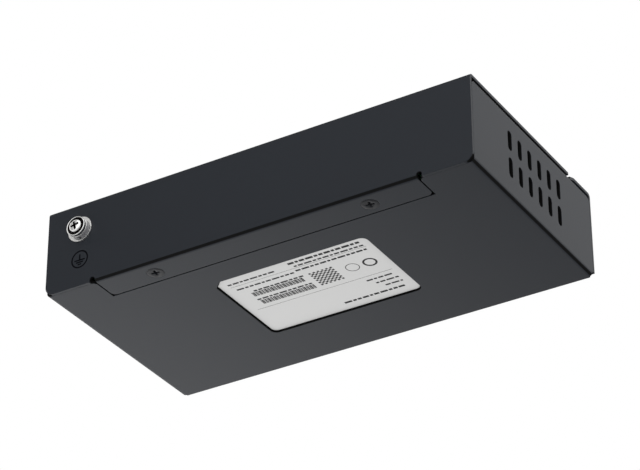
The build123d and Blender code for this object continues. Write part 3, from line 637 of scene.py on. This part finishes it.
def make_port_numbers():
    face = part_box("base_tray")[0][1]
    shapes = []
    for number, opening in enumerate(frame["record"]["physics"]["openings"], 1):
        socket_low, socket_high = opening["box_m"]
        bpy.ops.object.text_add(location=(0, 0, 0))
        text = bpy.context.object
        text.data.body = str(number)
        text.data.size = NUMBER_SIZE
        text.data.align_x = "CENTER"
        text.data.extrude = PRINT_THICKNESS / 2
        pick(text)
        bpy.ops.object.convert(target="MESH")
        text = bpy.context.object
        open_editing(text)
        bpy.ops.mesh.remove_doubles(threshold=0.001 * MM)
        close_editing()
        text.location = ((socket_low[0] + socket_high[0]) / 2, 0, 0)
        settle(text)
        shapes.append(text)
    numbers = join(shapes, "port_numbers")
    numbers.rotation_euler = (math.pi / 2, 0, 0)
    numbers.location = (0, face - PRINT_THICKNESS / 2, NUMBER_HEIGHT)
    settle(numbers)
    dress(numbers, NUMBER_PRINT)


# Screws with true driver recesses

RECESS_TIP = 0.35  # the tip's share of the recess's width
RECESS_ABOVE = 0.2 * MM


def recess_cutter(span, bar, depth):
    """A driver's tip: two crossed blades that narrow towards the point, pointing down from z = 0."""
    blades = []
    for turn in (0, math.pi / 2):
        bpy.ops.mesh.primitive_cube_add(size=1, location=(0, 0, (RECESS_ABOVE - depth) / 2))
        blade = bpy.context.object
        blade.scale = (span, bar, depth + RECESS_ABOVE)
        blade.rotation_euler = (0, 0, turn)
        settle(blade)
        mark(blade, lambda normal: normal.z < -0.9)
        narrow(RECESS_TIP)
        close_editing()
        blades.append(blade)
    combine(blades[0], blades[1], "UNION")
    return blades[0]


def soften(piece, width):
    """Breaks the sharp edges, and smooths the round ones."""
    limit = math.radians(35)
    apply_modifier(piece, "BEVEL", width=width, segments=2, limit_method="ANGLE", angle_limit=limit)
    bpy.ops.object.shade_smooth_by_angle(angle=math.radians(30))


def lathe(profile, name, steps=96):
    """Draws a profile of radius and height, which starts at the origin, and spins it round the Z axis."""
    bpy.ops.mesh.primitive_plane_add(size=1 * MM)
    piece = bpy.context.object
    piece.name = name
    open_editing(piece)
    bpy.ops.mesh.merge(type="CENTER")
    for (radius, up), (next_radius, next_up) in zip(profile, profile[1:]):
        step = ((next_radius - radius) * MM, 0, (next_up - up) * MM)
        bpy.ops.mesh.extrude_vertices_move(TRANSFORM_OT_translate={"value": step})
    bpy.ops.mesh.select_all(action="SELECT")
    bpy.ops.mesh.spin(steps=steps, angle=2 * math.pi, center=(0, 0, 0), axis=(0, 0, 1))
    bpy.ops.mesh.select_all(action="SELECT")
    bpy.ops.mesh.remove_doubles(threshold=0.0001 * MM)
    bpy.ops.mesh.normals_make_consistent(inside=False)
    close_editing()
    return piece


# Radius and height of the turned head, in millimetres from the top of its crown: a low crown, a groove round
# it, a thin rim, the side, and the face that lies on the washer
GROUND_SCREW_HEAD = [
    (0.0, 0.0),
    (0.9, -0.02),
    (1.6, -0.08),
    (1.95, -0.17),
    (2.15, -0.32),
    (2.30, -0.60),
    (2.52, -1.20),
    (2.60, -1.62),
    (3.02, -1.66),
    (3.16, -0.90),
    (3.26, -0.76),
    (3.46, -0.72),
    (3.56, -0.78),
    (3.6, -0.92),
    (3.6, -2.0),
    (3.45, -2.2),
    (2.0, -2.2),
]
GROUND_SHANK = 2.0
GROUND_CHAMFER = 0.4
GROUND_RECESS = (3.8 * MM, 0.95 * MM, 1.5 * MM)  # span, width of a bar, depth
GROUND_EDGE = 0.04 * MM
GROUND_TURN = math.radians(12)


def make_ground_screw():
    """A turned head with a crown, a rim and a cross recess. It replaces the plain screw of the frame."""
    low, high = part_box("ground_screw")
    end = (low[1] - high[1]) / MM
    tip = GROUND_SHANK - GROUND_CHAMFER
    profile = GROUND_SCREW_HEAD + [(GROUND_SHANK, end + GROUND_CHAMFER), (tip, end), (0.0, end)]
    screw = lathe(profile, "ground_screw_turned")
    combine(screw, recess_cutter(*GROUND_RECESS), "DIFFERENCE")
    soften(screw, GROUND_EDGE)
    screw.rotation_euler = (-math.pi / 2, GROUND_TURN, 0)
    screw.location = ((low[0] + high[0]) / 2, high[1], (low[2] + high[2]) / 2)
    settle(screw)
    dress(screw, SLOT_FINISH["nickel"])
    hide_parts("ground_screw")


COVER_SHANK = 1.5 * MM
COVER_LAND = 0.2 * MM  # the part of the cone that is made with the head's flat face
COVER_RECESS = (3.3 * MM, 0.85 * MM, 1.5 * MM)
COVER_EDGE = 0.05 * MM
COVER_TURN = math.radians(8)


def make_cover_screws():
    """Two countersunk screws flush with the flange. They replace the plain pair of the frame."""
    low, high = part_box("cover_screws")
    head = (high[1] - low[1]) / 2
    neck = head - COVER_LAND
    cone = head - COVER_SHANK
    first_x, second_x = low[0] + head, high[0] - head
    bpy.ops.mesh.primitive_cylinder_add(
        vertices=72, radius=head, depth=COVER_LAND, location=(0, 0, -COVER_LAND / 2)
    )
    screw = bpy.context.object
    settle(screw)
    mark(screw, lambda normal: normal.z < -0.99)
    narrow(neck / head)
    lengthen(cone - COVER_LAND)
    narrow(COVER_SHANK / neck)
    lengthen(high[2] - low[2] - cone)
    close_editing()
    combine(screw, recess_cutter(*COVER_RECESS), "DIFFERENCE")
    soften(screw, COVER_EDGE)
    screw.rotation_euler = (math.pi, 0, COVER_TURN)
    screw.location = (first_x, (low[1] + high[1]) / 2, low[2])
    settle(screw)
    other = screw.copy()
    other.data = screw.data.copy()
    bpy.context.scene.collection.objects.link(other)
    other.location = (second_x - first_x, 0, 0)
    settle(other)
    pair = join([screw, other], "cover_screw_pair")
    dress(pair, SLOT_FINISH["black_screw"])
    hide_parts("cover_screws")


# Studio

# Camera, worked out from the case's corners and edges in the photograph
CAMERA_PLACE = (-0.40087, 0.66500, -0.45161)
CAMERA_AIM = (0.44075, -0.73227, 0.51916)
CAMERA_ROLL = math.radians(-0.192)
CAMERA_LENS = 154.24
SENSOR_WIDTH = 36.0


def make_camera():
    data = bpy.data.cameras.new("camera")
    camera = bpy.data.objects.new("camera", data)
    bpy.context.scene.collection.objects.link(camera)
    camera.location = CAMERA_PLACE
    camera.rotation_euler = Vector(CAMERA_AIM).to_track_quat("-Z", "Y").to_euler()
    camera.rotation_euler.rotate_axis("Z", CAMERA_ROLL)
    data.sensor_fit = "HORIZONTAL"
    data.sensor_width = SENSOR_WIDTH
    data.lens = CAMERA_LENS
    data.clip_start = 0.01
    data.clip_end = 50.0
    bpy.context.scene.camera = camera


def add_seen(tree):
    """The Light Path node, and 1 on what the camera, a shine or a clear piece looks at."""
    path = add_node(tree, "ShaderNodeLightPath")
    seen = add_math(tree, "MAXIMUM", path.outputs["Is Camera Ray"], path.outputs["Is Glossy Ray"])
    return path, add_math(tree, "MAXIMUM", seen, path.outputs["Is Transmission Ray"])


def add_choice(tree, output, share, first, second):
    """The first shader where the share is 0, and the second where it is 1."""
    mix = add_node(tree, "ShaderNodeMixShader")
    link(tree, share, mix.inputs["Fac"])
    link(tree, first.outputs[0], mix.inputs[1])
    link(tree, second.outputs[0], mix.inputs[2])
    link(tree, mix.outputs[0], output.inputs["Surface"])


def stage_material(piece, name):
    """An empty material on a piece of the studio. Returns its node tree and its output."""
    material = bpy.data.materials.new(name)
    material.use_nodes = True
    material.node_tree.nodes.clear()
    piece.data.materials.append(material)
    return material.node_tree, add_node(material.node_tree, "ShaderNodeOutputMaterial")


FLOOR_SIZE = 6.0
FLOOR_DROP = 0.3 * MM
FLOOR_COLOR = (0.86, 0.86, 0.87, 1)
FLOOR_CLEARANCE = 0.02  # what is nearer to the floor, as the underside is, doesn't mirror it


def make_floor():
    """A pale floor, seen from above and see-through from below, so that it hides nothing of the underside."""
    bpy.ops.mesh.primitive_plane_add(size=FLOOR_SIZE, location=(0, 0, cad_box[0][2] - FLOOR_DROP))
    floor = bpy.context.object
    floor.name = "floor"
    settle(floor)
    tree, output = stage_material(floor, "pale_floor")
    clear = add_node(tree, "ShaderNodeBsdfTransparent")
    pale = add_node(tree, "ShaderNodeBsdfDiffuse", Color=FLOOR_COLOR)
    path, seen = add_seen(tree)
    side = add_node(tree, "ShaderNodeNewGeometry")
    far = add_math(tree, "GREATER_THAN", path.outputs["Ray Length"], FLOOR_CLEARANCE)
    front = add_math(tree, "SUBTRACT", 1.0, side.outputs["Backfacing"])
    shown = add_math(tree, "MULTIPLY", add_math(tree, "MULTIPLY", seen, front), far)
    add_choice(tree, output, shown, clear, pale)


WHITE = (1, 1, 1, 1)
ROOM_LIGHT = 0.92


def make_world():
    """White behind the object and in its shine, and a plain even light on everything."""
    world = bpy.data.worlds.new("studio")
    bpy.context.scene.world = world
    world.use_nodes = True
    tree = world.node_tree
    tree.nodes.clear()
    output = add_node(tree, "ShaderNodeOutputWorld")
    white = add_node(tree, "ShaderNodeBackground", Color=WHITE, Strength=1.0)
    room = add_node(tree, "ShaderNodeBackground", Color=WHITE, Strength=ROOM_LIGHT)
    add_choice(tree, output, add_seen(tree)[1], room, white)


def even(tone):
    """A ramp that stays at one tone."""
    return -1.0, 1.0, tone, tone


# Flat boards that only the object's shine shows: below the case, beside its -X wall and behind its rear wall,
# and two dark ones that keep the shine off the rounded edge over the rear wall. Each has two corners and then
# two ramps, across X and along Y, given as from, to, tone at the one and tone at the other
BOARDS = {
    "low_board": (
        (-0.8, -0.6, -0.15), (0.6, 0.6, -0.15), (0.04, 0.284, 0.57, 2.25), (-0.06, 0.06, 1.0, 0.85)
    ),
    "side_board": ((-0.35, -0.8, 0.1), (-0.35, -0.1, 0.7), even(1.46), (-0.62, -0.34, 1.16, 0.86)),
    "rear_board": ((-0.8, 0.8, -0.2), (1.6, 0.8, 1.4), (0.25, 0.576, 1.48, 0.42), even(1.0)),
    "far_board": ((0.05, -0.8, 0.15), (0.95, -0.8, 1.05), even(0.15), even(1.0)),
    "high_board": ((0.0, -0.8, 1.05), (1.1, 0.45, 1.05), even(0.15), even(1.0)),
}
THINNEST = 1e-6
TURN_TO_AXIS = ((0, math.pi / 2, 0), (math.pi / 2, 0, 0), (0, 0, 0))


def make_board(name, low, high, across, along):
    size = [b - a for a, b in zip(low, high)]
    bpy.ops.mesh.primitive_plane_add(size=1)
    board = bpy.context.object
    board.name = name
    board.rotation_euler = TURN_TO_AXIS[size.index(0)]
    settle(board)
    board.scale = [max(length, THINNEST) for length in size]
    board.location = [(a + b) / 2 for a, b in zip(low, high)]
    settle(board)
    tree, output = stage_material(board, name)
    glow = add_node(tree, "ShaderNodeEmission")
    place = add_node(tree, "ShaderNodeTexCoord")
    split = add_node(tree, "ShaderNodeSeparateXYZ")
    link(tree, place.outputs["Object"], split.inputs[0])
    tone_across = add_ramp(tree, split.outputs["X"], *across)
    tone_along = add_ramp(tree, split.outputs["Y"], *along)
    link(tree, add_math(tree, "MULTIPLY", tone_across, tone_along), glow.inputs["Strength"])
    link(tree, glow.outputs[0], output.inputs["Surface"])
    for sight in ("camera", "diffuse", "transmission", "volume_scatter", "shadow"):
        setattr(board, "visible_" + sight, False)


LAMP_PLACE = (-0.25, -0.35, 0.85)
LAMP_SIZE = 0.7
LAMP_POWER = 1.2


def make_top_light():
    """A wide soft lamp over the front, aimed at the object."""
    data = bpy.data.lights.new("top_light", "AREA")
    data.shape = "RECTANGLE"
    data.size = data.size_y = LAMP_SIZE
    data.energy = LAMP_POWER
    lamp = bpy.data.objects.new("top_light", data)
    bpy.context.scene.collection.objects.link(lamp)
    lamp.location = LAMP_PLACE
    lamp.rotation_euler = (-Vector(LAMP_PLACE)).to_track_quat("-Z", "Y").to_euler()


dress_nodes()
make_earth_sign()
make_label_print()
make_ground_screw()
make_cover_screws()
make_port_numbers()
make_camera()
make_floor()
make_world()
for board, (low, high, across, along) in BOARDS.items():
    make_board(board, low, high, across, along)
make_top_light()
bpy.context.scene.view_settings.view_transform = "Standard"
